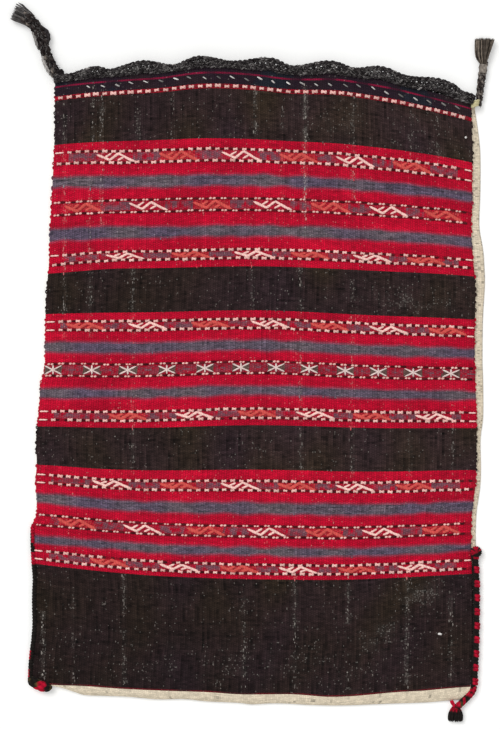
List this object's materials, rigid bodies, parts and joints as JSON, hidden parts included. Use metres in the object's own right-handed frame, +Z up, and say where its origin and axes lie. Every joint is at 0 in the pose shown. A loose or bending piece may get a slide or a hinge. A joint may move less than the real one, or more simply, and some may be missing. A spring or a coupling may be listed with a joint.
{
  "type": "woven feed bag",
  "caption": "Empty flat-woven wool feed bag lying flat: banded front, plain cream back, edged open mouth with a corner tie at each end and overcast lower sides.",
  "frame": {"origin": "middle of the flat underside of the plain back, half way between the mouth line and the fold", "axes": "+Z up out of the striped front, +Y from the fold to the mouth, +X to the right of the front"},
  "size_m": [0.4902, 0.7219, 0.0181],
  "materials": {
    "banded_wool_cloth": "weft-faced wool weave in dark brown, red and slate blue bands",
    "marled_hair": "charcoal and grey marled hair yarn",
    "pale_thread": "pale grey wound thread",
    "dark_wool": "black wool yarn with red stitches"
  },
  "bodies": {
    "root": {"bag_cloth": "banded_wool_cloth", "front_mouth_edging": "marled_hair", "back_mouth_edging": "marled_hair", "left_tie": "marled_hair", "left_tie_tassel": "marled_hair", "right_tie": "marled_hair", "right_tie_wrap": "pale_thread", "right_tie_tassel": "marled_hair", "left_side_binding": "dark_wool", "right_side_binding": "dark_wool", "right_corner_tuft": "dark_wool"}
  },
  "joints": []
}
